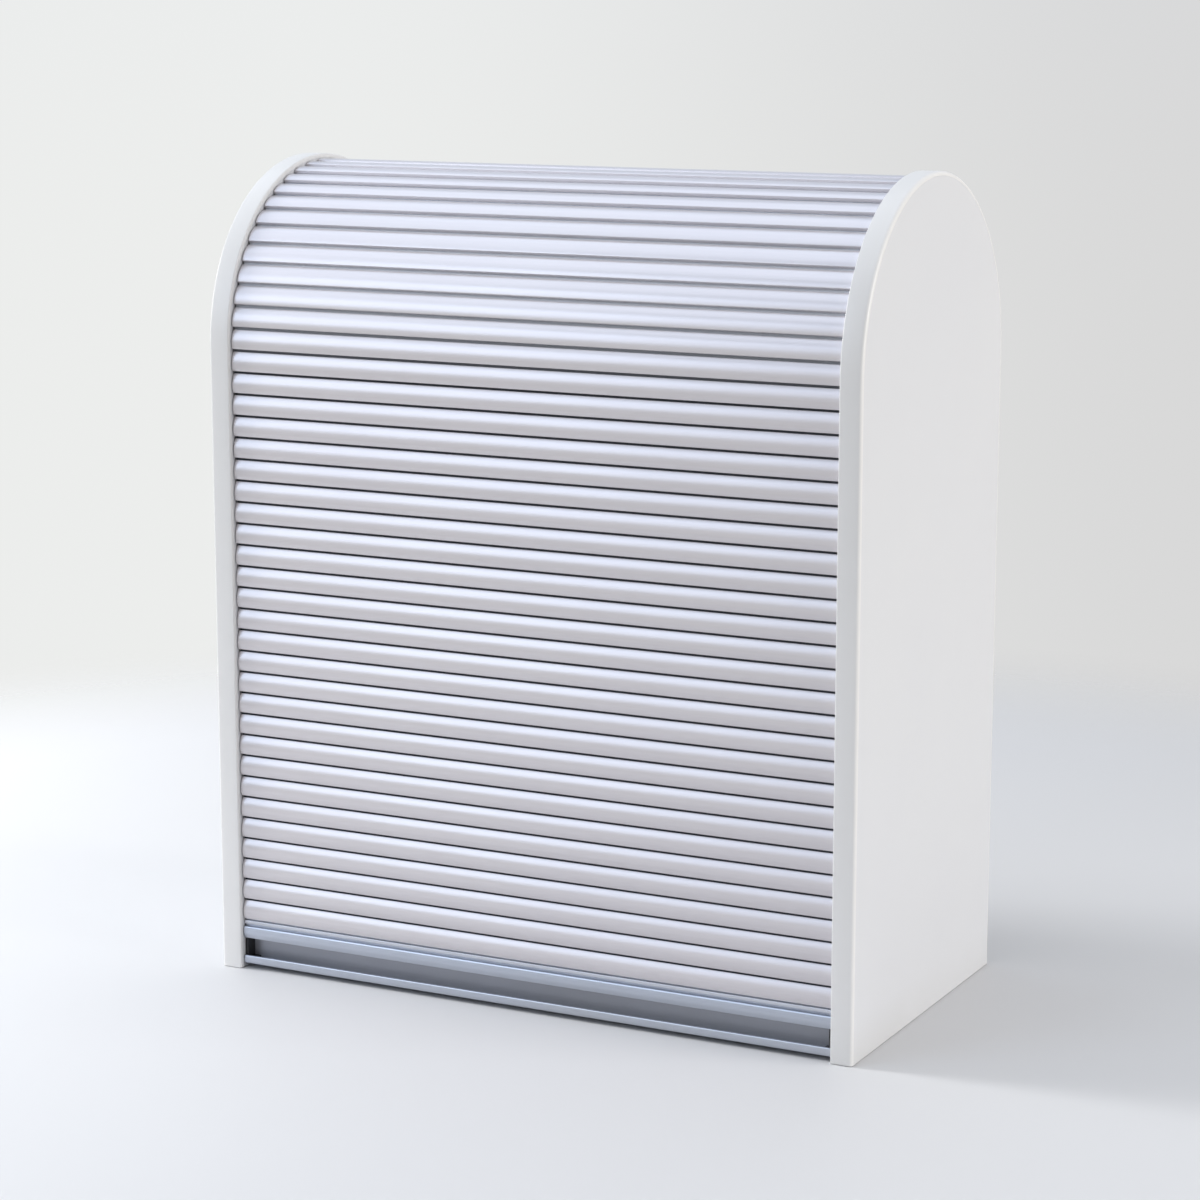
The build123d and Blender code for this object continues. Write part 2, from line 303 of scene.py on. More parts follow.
def panelMaterial():
    material, tree, shader, tone = boardMaterial("panelMelamine", melamineLook)
    link = tree.links.new
    halfStep = pinRow["step"] * mm / 2
    faceLimit = (cabinet["innerHalf"] + pinRow["faceDepth"]) * mm  # only the inner faces are drilled
    coord = put(tree, "ShaderNodeTexCoord", (-1500, 500))
    parts = put(tree, "ShaderNodeSeparateXYZ", (-1320, 500))
    sideY = put(tree, "ShaderNodeMath", (-1120, 700), operation="ABSOLUTE")
    offY = put(tree, "ShaderNodeMath", (-940, 700), {1: pinRow["y"] * mm}, operation="SUBTRACT")
    offZ = put(tree, "ShaderNodeMath", (-1120, 520), {1: pinRow["first"] * mm}, operation="SUBTRACT")
    wrap = put(tree, "ShaderNodeMath", (-940, 520), {1: halfStep, 2: -halfStep}, operation="WRAP")
    flat = put(tree, "ShaderNodeCombineXYZ", (-740, 620))
    reach = put(tree, "ShaderNodeVectorMath", (-560, 620), operation="LENGTH")
    inHole = put(tree, "ShaderNodeMath", (-380, 620), {1: pinRow["radius"] * mm}, operation="LESS_THAN")
    aboveLow = put(tree, "ShaderNodeMath", (-940, 340), {1: pinRow["low"] * mm}, operation="GREATER_THAN")
    belowHigh = put(tree, "ShaderNodeMath", (-940, 180), {1: pinRow["high"] * mm}, operation="LESS_THAN")
    sideX = put(tree, "ShaderNodeMath", (-1120, 20), operation="ABSOLUTE")
    inner = put(tree, "ShaderNodeMath", (-940, 20), {1: faceLimit}, operation="LESS_THAN")
    both = put(tree, "ShaderNodeMath", (-740, 260), operation="MULTIPLY")
    there = put(tree, "ShaderNodeMath", (-560, 160), operation="MULTIPLY")
    mask = put(tree, "ShaderNodeMath", (-200, 480), operation="MULTIPLY")
    # painted shade of the holes over the panel's colour
    drilled = put(tree, "ShaderNodeMix", (0, 400), data_type="RGBA")
    drilled.inputs["B"].default_value = pinRow["holePaintedShade"]
    link(coord.outputs["Object"], parts.inputs["Vector"])
    link(parts.outputs["Y"], sideY.inputs[0])
    link(sideY.outputs["Value"], offY.inputs[0])
    link(parts.outputs["Z"], offZ.inputs[0])
    link(offZ.outputs["Value"], wrap.inputs[0])
    link(offY.outputs["Value"], flat.inputs["X"])
    link(wrap.outputs["Value"], flat.inputs["Y"])
    link(flat.outputs["Vector"], reach.inputs[0])
    link(reach.outputs["Value"], inHole.inputs[0])
    link(parts.outputs["Z"], aboveLow.inputs[0])
    link(parts.outputs["Z"], belowHigh.inputs[0])
    link(parts.outputs["X"], sideX.inputs[0])
    link(sideX.outputs["Value"], inner.inputs[0])
    link(aboveLow.outputs["Value"], both.inputs[0])
    link(belowHigh.outputs["Value"], both.inputs[1])
    link(both.outputs["Value"], there.inputs[0])
    link(inner.outputs["Value"], there.inputs[1])
    link(inHole.outputs["Value"], mask.inputs[0])
    link(there.outputs["Value"], mask.inputs[1])
    link(mask.outputs["Value"], drilled.inputs["Factor"])
    link(tone.outputs["Colour"], drilled.inputs["A"])
    link(drilled.outputs["Result"], shader.inputs["Base Color"])
    return material


# mixes the colour towards a lighter one with height: painted light
def paintedLightByHeight(tree, look, colour):
    coord = put(tree, "ShaderNodeTexCoord", (-1300, 560))
    parts = put(tree, "ShaderNodeSeparateXYZ", (-1100, 560))
    height = put(tree, "ShaderNodeMapRange", (-900, 560),
                 {"From Min": look["litFrom"], "From Max": look["litTo"]})
    mix = put(tree, "ShaderNodeMix", (-560, 460), data_type="RGBA")
    mix.inputs["B"].default_value = look["lit"]
    tree.links.new(coord.outputs["Object"], parts.inputs["Vector"])
    tree.links.new(parts.outputs["Z"], height.inputs["Value"])
    tree.links.new(height.outputs["Result"], mix.inputs["Factor"])
    tree.links.new(colour, mix.inputs["A"])
    return mix.outputs["Result"]


def drawnMaterial(name, look):
    material, tree, shader = startMaterial(name)
    link = tree.links.new
    lines = fillGroup(tree, runLines, (-760, -200), {"Density": look["density"]})
    tone = toneFrom(tree, look, (-760, 240))
    streak = put(tree, "ShaderNodeMix", (-420, 240), data_type="RGBA", blend_type="MULTIPLY")
    streak.inputs["B"].default_value = look["streak"]
    colour = tone.outputs["Colour"]
    # the joint's painted shade lightens with height
    if "lit" in look:
        colour = paintedLightByHeight(tree, look, colour)
    link(lines.outputs["Streak"], streak.inputs["Factor"])
    link(colour, streak.inputs["A"])
    link(streak.outputs["Result"], shader.inputs["Base Color"])
    link(tone.outputs["Rough"], shader.inputs["Roughness"])
    shader.inputs["Metallic"].default_value = look["metal"]
    shader.inputs["Specular IOR Level"].default_value = look["shine"]
    shader.inputs["Specular Tint"].default_value = look["tint"]
    bumpFrom(tree, lines.outputs["Height"], shader, look["bump"], bumpDepth["drawLines"])
    return material


edgingLook = {
    "base": (0.92, 0.905, 0.89, 1), "drift": (0.91, 0.895, 0.88, 1), "dust": (0.78, 0.77, 0.75, 1),
    "glossLow": 0.30, "glossHigh": 0.38, "pebble": 1400, "bump": 0.03, "shine": 0.5,
}
slatLook = {
    "base": (0.68, 0.645, 0.66, 1), "drift": (0.665, 0.63, 0.65, 1), "dust": (0.5, 0.49, 0.48, 1),
    "streak": (0.95, 0.95, 0.95, 1), "glossLow": 0.28, "glossHigh": 0.32, "density": 900, "bump": 0.04,
    "metal": 0.34, "shine": 0.7, "tint": (0.86, 0.93, 1.0, 1),
}
# the dark joint finish is painted shade of the narrow gaps; the real hook, neck and socket have the
# slat's own grey
jointPaintedShadeLook = {
    "base": (0.080, 0.085, 0.097, 1), "drift": (0.090, 0.095, 0.107, 1), "dust": (0.1, 0.1, 0.1, 1),
    "streak": (0.8, 0.8, 0.8, 1), "glossLow": 0.6, "glossHigh": 0.7, "density": 700, "bump": 0.05,
    "metal": 0.0, "shine": 0.2, "tint": (1, 1, 1, 1),
}
# painted shade in the arch's joints, fading with height to a pale painted lit grey, as the arch opens its
# joints to the light
archJointPaintedShadeLook = dict(jointPaintedShadeLook, lit=(0.86, 0.88, 0.94, 1), litFrom=0.445, litTo=0.505)
collarLook = dict(slatLook, base=(0.62, 0.635, 0.69, 1), drift=(0.60, 0.615, 0.67, 1))
railLook = {
    "base": (0.50, 0.53, 0.60, 1), "drift": (0.48, 0.51, 0.575, 1), "dust": (0.5, 0.5, 0.5, 1),
    "streak": (0.92, 0.925, 0.93, 1), "glossLow": 0.30, "glossHigh": 0.37, "density": 1100, "bump": 0.05,
    "metal": 0.85, "shine": 0.5, "tint": (1, 1, 1, 1),
}
# the finger recess is painted darker than the rail: painted shade under the top lip
recessPaintedShadeLook = {
    "base": (0.43, 0.44, 0.49, 1), "drift": (0.41, 0.42, 0.47, 1), "dust": (0.4, 0.4, 0.4, 1),
    "streak": (0.92, 0.92, 0.92, 1), "glossLow": 0.42, "glossHigh": 0.5, "density": 900, "bump": 0.05,
    "metal": 0.4, "shine": 0.4, "tint": (1, 1, 1, 1),
}
guideLook = {
    "base": (0.55, 0.55, 0.56, 1), "drift": (0.52, 0.52, 0.53, 1), "dust": (0.4, 0.4, 0.39, 1),
    "streak": (0.94, 0.94, 0.94, 1), "glossLow": 0.42, "glossHigh": 0.5, "density": 700, "bump": 0.05,
    "metal": 0.0, "shine": 0.4, "tint": (1, 1, 1, 1),
}
capLook = {
    "base": (0.022, 0.022, 0.023, 1), "drift": (0.03, 0.03, 0.031, 1), "dust": (0.1, 0.1, 0.1, 1),
    "glossLow": 0.42, "glossHigh": 0.55, "pebble": 1600, "bump": 0.12, "shine": 0.4,
}
backLook = {
    "base": (0.76, 0.755, 0.745, 1), "drift": (0.73, 0.725, 0.715, 1), "dust": (0.6, 0.58, 0.55, 1),
    "glossLow": 0.5, "glossHigh": 0.62, "pebble": 420, "bump": 0.14, "shine": 0.35,
}
zincLook = {
    "base": (0.58, 0.58, 0.57, 1), "drift": (0.52, 0.53, 0.54, 1), "dust": (0.4, 0.4, 0.4, 1),
    "glossLow": 0.28, "glossHigh": 0.42, "pebble": 700, "bump": 0.08, "shine": 0.5, "metal": 1.0,
}


panelWhite = panelMaterial()
boardWhite = boardMaterial("boardMelamine", melamineLook)[0]
edgingWhite = boardMaterial("edgingWhite", edgingLook)[0]
slatSilver = drawnMaterial("slatSilver", slatLook)
jointPaintedShade = drawnMaterial("jointPaintedShade", jointPaintedShadeLook)
archJointPaintedShade = drawnMaterial("archJointPaintedShade", archJointPaintedShadeLook)
collarSilver = drawnMaterial("collarSilver", collarLook)
railSilver = drawnMaterial("railSilver", railLook)
recessPaintedShade = drawnMaterial("recessPaintedShade", recessPaintedShadeLook)
guideGrey = drawnMaterial("guideGrey", guideLook)
capBlack = boardMaterial("capBlack", capLook)[0]
backBoard = boardMaterial("backBoard", backLook)[0]
zincPlate = boardMaterial("zincPlate", zincLook)[0]
print("materials ready:", len(bpy.data.materials))


# roll front

slatForm = {
    "pitch": 15.5, "crown": 4.4, "crest": 4.5, "nose": 3.6, "noseRound": 0.45, "edge": 1.8,
    "edgeRound": 0.3, "back": 2.6, "faceDrop": 1.6, "faceGap": 1.6, "faceSteps": 16, "faceEndGap": 0.8,
    "shoulderDrop": 0.4, "neck": 1.5, "bulbRadius": 1.5, "socketRadius": 2.05, "mouth": 1.15,
    "hookLength": 4, "hookSteps": 14, "jointDepth": 2.0,
    "tongueStart": 2.5, "tongueLength": 9.2, "tongueFront": 0.6, "tongueReach": 6,
}
rollRun = {"radius": 122.1, "firstJoint": 38.5, "frontSlats": 27, "archLinks": 24, "gatherKeep": 0.01}


def slatOutline(form):
    lip = math.pi - math.asin(form["mouth"] / form["socketRadius"])
    turn = math.pi - math.asin(form["neck"] / 2 / form["bulbRadius"])
    top = form["pitch"] - form["faceGap"] - form["faceDrop"]
    shoulder = top - form["shoulderDrop"]
    nose, crest = (-form["faceDrop"], form["nose"]), (form["crest"], form["crown"])
    face = arcThrough(nose, crest, (top, form["edge"]), form["faceSteps"])
    socket = ringPoints(0, form["socketRadius"], -lip, lip, form["hookSteps"])
    bulb = ringPoints(form["pitch"], form["bulbRadius"], turn, -turn, form["hookSteps"])
    corners = [(u, v, 0) for u, v in socket]
    corners += [(*face[0], form["noseRound"])]
    corners += [(u, v, 0) for u, v in face[1:-1]]
    corners += [(*face[-1], form["edgeRound"]), (shoulder, form["neck"] / 2, 0)]
    corners += [(u, v, 0) for u, v in bulb]
    corners += [(shoulder, -form["neck"] / 2, 0), (shoulder, -form["back"], 0), (0, -form["back"], 0)]
    corners += [(form["back"] * math.cos(lip), -form["back"] * math.sin(lip), 0)]
    return softOutline(corners)


def runJoint(number):
    front, radius = rollRun["frontSlats"], rollRun["radius"]
    pitch, top = slatForm["pitch"], cabinet["straightHeight"]
    if number <= front:
        return Vector((0, -radius, rollRun["firstJoint"] + number * pitch))
    link = 2 * math.asin(pitch / 2 / radius)
    turn = min(number - front, rollRun["archLinks"]) * link
    spot = Vector((0, -radius * math.cos(turn), top + radius * math.sin(turn)))
    if number > front + rollRun["archLinks"]:  # the link that comes off the arch on to the rear run
        spot.z -= math.sqrt(pitch**2 - (radius - spot.y) ** 2)
        spot.y = radius
    return spot


def runPlace(number):
    start = runJoint(number)
    along = (runJoint(number + 1) - start).normalized()
    outward = Vector((1, 0, 0)).cross(along)

    def place(u, v, x):
        return (start + along * u + outward * v + Vector((x, 0, 0))) * mm
    return place


# faces picked here take the dark joint finish, which is painted shade
def inJoint(u, v):  # the hook, its neck and the socket, which lie in the shade of the gap
    between = slatForm["socketRadius"] < u < slatForm["pitch"] - slatForm["hookLength"]
    return int(abs(v) < slatForm["jointDepth"] and not between)


def addSlat(bm, outline, place):
    half = cabinet["innerHalf"] - slatForm["faceEndGap"]
    tip = cabinet["innerHalf"] + slatForm["tongueReach"]
    addBar(bm, outline, place, -half, half, inJoint)
    low, high = slatForm["tongueStart"], slatForm["tongueStart"] + slatForm["tongueLength"]
    rear, front = -slatForm["back"], slatForm["tongueFront"]
    tongue = [(low, rear), (high, rear), (high, front), (low, front)]
    for x0, x1 in ((-tip, -half), (half, tip)):
        addBar(bm, tongue, place, x0, x1)


slatShape = slatOutline(slatForm)
for number in range(rollRun["frontSlats"] - 1):
    label = f"{number + 1:02d}"
    bm = bmesh.new()
    addSlat(bm, slatShape, runPlace(number))
    slat = finishPiece("slatFace" + label, bm, "slat_" + label, (slatSilver, jointPaintedShade))
    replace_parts(slat, "front_slat_" + label)
    runJoint(number) * mm
    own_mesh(slat)

bm = bmesh.new()
for number in range(rollRun["frontSlats"] - 1, rollRun["frontSlats"] + rollRun["archLinks"] + 1):
    addSlat(bm, slatShape, runPlace(number))
archRun = finishPiece("archRun", bm, "cabinet", (slatSilver, archJointPaintedShade))
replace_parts(archRun, "arch_slats")
print("roll front made")


# handle rail

handleForm = {
    "bottom": 3.08, "top": 31.32, "front": 4.52, "back": 8.72, "round": 1.2, "rearRound": 0.4,
    "wall": 1.92, "recessLow": 9.2, "recessHigh": 22.2, "inside": 0.8, "innerRound": 0.3,
    "lipRound": 0.8, "lipSet": 1.3, "lipSlope": 3.4, "lipRoll": 7,
    "collar": 4.4, "collarTop": 35.6, "bead": 3.2, "beadRound": 0.6, "groove": 1.5, "grooveDepth": 0.9,
    "hookHeight": 38.5, "cornerSteps": 5, "finishSlack": 0.1,
    "halfLength": 233,  # runs on round the plates of the end caps
}


def handleOutline(form):
    turn = math.pi - math.asin(slatForm["neck"] / 2 / slatForm["bulbRadius"])
    low, high, rear, front = form["bottom"], form["top"], -form["back"], form["front"]
    innerFront, innerRear = front - form["wall"], form["wall"] - form["back"]
    innerLow, innerHigh = low + form["wall"], high - form["wall"]
    half, neck = form["collar"] / 2, slatForm["neck"] / 2
    grooveFloor, beadFoot = half - form["grooveDepth"], high + form["groove"]
    corners = [
        (low, rear, form["rearRound"]), (low, front, form["round"]),
        (form["recessLow"], front, form["lipRound"]), (form["recessLow"], innerFront, form["innerRound"]),
        (innerLow, innerFront, form["innerRound"]), (innerLow, innerRear, form["inside"]),
        (innerHigh, innerRear, form["inside"]), (innerHigh, innerFront, form["innerRound"]),
        (form["recessHigh"], innerFront, form["innerRound"]),
        (form["recessHigh"], front - form["lipSet"], form["innerRound"]),
        (form["recessHigh"] + form["lipSlope"], front, form["lipRoll"]),
        (high, front, form["round"]), (high, grooveFloor, 0),
        (beadFoot, grooveFloor, 0), (beadFoot, form["bead"], form["beadRound"]),
        (form["collarTop"], form["bead"], form["beadRound"]), (form["collarTop"], neck, 0),
    ]
    bulb = ringPoints(form["hookHeight"], slatForm["bulbRadius"], turn, -turn, slatForm["hookSteps"])
    corners += [(u, v, 0) for u, v in bulb]
    corners += [(form["collarTop"], -neck, 0), (form["collarTop"], -half, form["beadRound"])]
    corners += [(high, -half, 0), (high, rear, form["rearRound"])]
    return softOutline(corners, form["cornerSteps"])


def handlePlace(u, v, x):
    return Vector((x, -rollRun["radius"] - v, u)) * mm


# finish 1, the finger recess, is darker as painted shade
def handleFinish(u, v):  # 0 the drawn rail, 1 the finger recess, 2 the collar under the first slat
    wall, slack = handleForm["wall"], handleForm["finishSlack"]
    low, high = handleForm["bottom"] + wall, handleForm["top"] - wall
    rear, front = wall - handleForm["back"], handleForm["front"] - wall
    if low - slack < u < high + slack and rear - slack < v < front + slack:
        return 1
    return 2 if u > handleForm["top"] + slack else 0


bm = bmesh.new()
railEnd = handleForm["halfLength"]
addBar(bm, handleOutline(handleForm), handlePlace, -railEnd, railEnd, handleFinish)
handle = finishPiece("handleRail", bm, "handle", (railSilver, recessPaintedShade, collarSilver))
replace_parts(handle, "handle_rail")
print("handle made")


# end caps of the handle rail

capForm = {
    "bottom": 5.1, "top": 29.3, "front": 2.4, "back": 6.7, "round": 0.4, "inner": 231, "plate": 1.2,
    "plug": 5, "lowLugTop": 7.2, "highLugFoot": 22.4,
    "tongueLow": 8.2, "tongueHigh": 29.2, "tongueRound": 0.3,
}


def capBlock(bm, side, heights, depths, reach, soft):
    low, high = heights
    rear, front = depths
    corners = [(low, rear, soft), (low, front, soft), (high, front, soft), (high, rear, soft)]
    start, end = sorted(side * x for x in reach)
    addBar(bm, softOutline(corners), handlePlace, start, end)


def makeCap(name, side, node):
    bm = bmesh.new()
    form = capForm
    depths = (-form["back"], form["front"])
    plateEnd = form["inner"] + form["plate"]
    capBlock(bm, side, (form["bottom"], form["top"]), depths, (form["inner"], plateEnd), form["round"])
    lugs = ((form["bottom"], form["lowLugTop"]), (form["highLugFoot"], form["top"]))  # behind the lips
    for heights in lugs:
        capBlock(bm, side, heights, depths, (form["inner"] - form["plug"], form["inner"]), form["round"])
    tongueHeights = (form["tongueLow"], form["tongueHigh"])
    tongueDepths = (-slatForm["back"], slatForm["tongueFront"])
    tongueReach = (plateEnd, cabinet["innerHalf"] + slatForm["tongueReach"])
    capBlock(bm, side, tongueHeights, tongueDepths, tongueReach, form["tongueRound"])
    cap = finishPiece(name, bm, "handle", (capBlack,))
    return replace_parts(cap, node)


makeCap("rightCap", 1, "right_handle_cap")
makeCap("leftCap", -1, "left_handle_cap")
print("end caps made")


# edge bands of the side panels

bandForm = {
    "thick": 3, "outerRound": 2.4, "innerRound": 1.1, "cornerSteps": 6, "archSteps": 72,
    "rebateTop": 454.1, "rebateWidth": 7.1,
}


def bandSection(x0, x1, form):
    inner, outer = cabinet["archRadius"] - form["thick"], cabinet["archRadius"]
    corners = [(x0, inner, 0), (x1, inner, 0)]
    corners += [(x1, outer, form["outerRound"]), (x0, outer, form["innerRound"])]
    return softOutline(corners, form["cornerSteps"])


def bandStations(form):
    top = cabinet["straightHeight"]
    stations = [lambda r: (-r, 0.0), lambda r: (-r, top)]
    for i in range(1, form["archSteps"]):
        turn = math.pi * i / form["archSteps"]
        stations.append(lambda r, t=turn: (-r * math.cos(t), top + r * math.sin(t)))
    return stations + [lambda r: (r, top), lambda r: (r, form["rebateTop"])]


def makeBand(name, side, node):
    bm = bmesh.new()
    wide = bandSection(cabinet["innerHalf"], cabinet["halfWidth"], bandForm)
    narrow = bandSection(cabinet["innerHalf"] + bandForm["rebateWidth"], cabinet["halfWidth"], bandForm)
    stations = bandStations(bandForm)
    over = [[Vector((side * x, *station(r))) * mm for x, r in wide] for station in stations]
    rear = [[Vector((side * x, r, z)) * mm for x, r in narrow] for z in (bandForm["rebateTop"], 0)]
    addLoops(bm, over)
    addLoops(bm, rear)  # beside the rebate of the outer back
    band = finishPiece(name, bm, "cabinet", (edgingWhite,))
    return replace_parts(band, node)


rightEdging = makeBand("rightEdging", 1, "right_edge_band")
leftEdging = makeBand("leftEdging", -1, "left_edge_band")
print("edge bands made")


# fittings

pinForm = {
    "shank": 2.45, "depth": 8, "head": 3.5, "length": 7, "round": 0.9, "chamfer": 0.3, "wallGap": 0.1,
    "heights": (151.4, 279.4),
}
screwForm = {
    "head": 3.4, "foot": 0.4, "dome": 0.9, "shoulderRise": 0.4, "shoulderShare": 0.93, "steps": 20,
    "recess": 1.5, "recessRim": 0.5, "recessFloor": 0.6, "sink": 0.7, "inset": 9, "rows": 4, "columns": 3,
}


def makePins():
    bm = bmesh.new()
    wall = cabinet["innerHalf"]
    tip, collar = wall - pinForm["length"], wall - pinForm["wallGap"]
    head, shank, chamfer = pinForm["head"], pinForm["shank"], pinForm["chamfer"]
    profile = [(tip, head - pinForm["round"]), (tip + chamfer, head - chamfer)]
    profile += [(tip + pinForm["round"], head), (collar, head)]
    profile += [(collar, shank), (wall + pinForm["depth"], shank)]
    for side in (-1, 1):
        for y in (-pinRow["y"], pinRow["y"]):
            for z in pinForm["heights"]:
                addTurned(bm, profile, lambda a, p, q: Vector((side * a, y + p, z + q)) * mm)
    pins = finishPiece("shelfPins", bm, "cabinet", (zincPlate,))
    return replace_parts(pins, "shelf_pins")


def makeBackScrews():
    bm = bmesh.new()
    low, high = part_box("outer_back_panel")
    rear = high.y / mm
    crown = rear + screwForm["dome"]
    head, recess = screwForm["head"], screwForm["recess"]
    inset, columns = screwForm["inset"], screwForm["columns"]
    profile = [(rear - screwForm["foot"], head)]
    profile += [(rear + screwForm["dome"] * screwForm["shoulderRise"], head * screwForm["shoulderShare"])]
    profile += [(crown, recess + screwForm["recessRim"]), (crown, recess)]
    profile += [(crown - screwForm["sink"], recess * screwForm["recessFloor"])]
    left, right = low.x / mm + inset, high.x / mm - inset
    bottom, top = low.z / mm + inset, high.z / mm - inset
    spots = [(left + (right - left) * i / columns, bottom) for i in range(columns + 1)]
    for i in range(1, screwForm["rows"] + 1):
        z = bottom + (top - bottom) * i / screwForm["rows"]
        spots += [(left, z), (right, z)]
    for x, z in spots:
        addTurned(bm, profile, lambda a, p, q: Vector((x + p, a, z + q)) * mm, screwForm["steps"])
    return finishPiece("backScrews", bm, "cabinet", (zincPlate,))


makePins()
makeBackScrews()
print("fittings made")


# CAD nodes that stay, with their finishes

keptNodes = {
    "left_side_panel": panelWhite, "right_side_panel": panelWhite,
    "bottom_board": boardWhite, "top_board": boardWhite, "rear_rail": boardWhite,
    "lower_shelf": boardWhite, "upper_shelf": boardWhite,
    "inner_back_panel": backBoard, "outer_back_panel": backBoard,
    "left_guide": guideGrey, "right_guide": guideGrey, "tail_bar": slatSilver,
    "front_stops": capBlack, "rear_stops": capBlack,
    "cam_locks": zincPlate, "cam_bolts": zincPlate,
}
for name, material in keptNodes.items():
    node = nodes[name]
    node.data.materials.clear()
    node.data.materials.append(material)
print("CAD nodes finished:", len(keptNodes))


# studio

acrossView = (0.891, 0.4535, 0)  # towards the right of the photo


def smoothRange(tree, spot, start, end):
    ends = {"From Min": start, "From Max": end}
    return put(tree, "ShaderNodeMapRange", spot, ends, interpolation_type="SMOOTHSTEP")


# the floor paper is lighter on the left than on the right: a painted pool of light from the lamps at the
# left
paperFloor = {
    "right": (0.69, 0.69, 0.70, 1), "left": (0.76, 0.76, 0.765, 1), "floorPaintedLightFrom": -0.75, "floorPaintedLightTo": -0.05,
    "rough": 0.55, "radius": 6.0, "segments": 64, "drop": 0.0005, "fadeFrom": 0.80, "fadeTo": 1.25,
}


def makeFloor():
    material, tree, shader = startMaterial("floorPaper")
    link = tree.links.new
    shader.inputs["Roughness"].default_value = paperFloor["rough"]
    coord = put(tree, "ShaderNodeTexCoord", (-1100, 200))
    # painted light: the paper turns lighter towards the left
    across = put(tree, "ShaderNodeVectorMath", (-900, 200), {1: acrossView}, operation="DOT_PRODUCT")
    side = smoothRange(tree, (-700, 200), paperFloor["floorPaintedLightFrom"], paperFloor["floorPaintedLightTo"])
    paperWithPaintedLight = put(tree, "ShaderNodeMix", (-400, 200), data_type="RGBA")
    paperWithPaintedLight.inputs["A"].default_value = paperFloor["left"]
    paperWithPaintedLight.inputs["B"].default_value = paperFloor["right"]
    far = put(tree, "ShaderNodeVectorMath", (-900, -100), operation="LENGTH")
    fade = smoothRange(tree, (-700, -100), paperFloor["fadeFrom"], paperFloor["fadeTo"])
    facing = put(tree, "ShaderNodeNewGeometry", (-700, -350))
    unseen = put(tree, "ShaderNodeMath", (-250, -200), operation="MAXIMUM")  # far off, or from underneath
    clear = put(tree, "ShaderNodeBsdfTransparent", (0, -200))
    mix = put(tree, "ShaderNodeMixShader", (260, 0))
    link(coord.outputs["Object"], across.inputs[0])
    link(coord.outputs["Object"], far.inputs[0])
    link(across.outputs["Value"], side.inputs["Value"])
    link(side.outputs["Result"], paperWithPaintedLight.inputs["Factor"])
    link(paperWithPaintedLight.outputs["Result"], shader.inputs["Base Color"])
    link(far.outputs["Value"], fade.inputs["Value"])
    link(fade.outputs["Result"], unseen.inputs[0])
    link(facing.outputs["Backfacing"], unseen.inputs[1])
    link(unseen.outputs["Value"], mix.inputs["Fac"])
    link(shader.outputs["BSDF"], mix.inputs[1])
    link(clear.outputs["BSDF"], mix.inputs[2])
    link(mix.outputs["Shader"], tree.nodes["Material Output"].inputs["Surface"])
    bm = bmesh.new()
    segments, radius = paperFloor["segments"], paperFloor["radius"]
    bmesh.ops.create_circle(bm, cap_ends=True, segments=segments, radius=radius)
    mesh = bpy.data.meshes.new("floor")
    bm.to_mesh(mesh)
    bm.free()
    floor = bpy.data.objects.new("floor", mesh)
    floor.location.z = -paperFloor["drop"]
    floor.data.materials.append(material)
    scene.collection.objects.link(floor)


# the seen backdrop is lighter on the left than on the right: painted light falling from the left
studioSky = {
    "wallLeft": (0.84, 0.85, 0.84, 1), "wallRight": (0.69, 0.69, 0.69, 1),
    "wallPaintedLightFrom": -0.1, "wallPaintedLightTo": 0.2, "overhead": (0.65, 0.76, 0.96, 1), "riseFrom": -0.1, "riseTo": 0.8,
    "top": (1.0, 0.985, 0.97, 1), "low": (0.82, 0.81, 0.80, 1), "strength": 0.33,
}


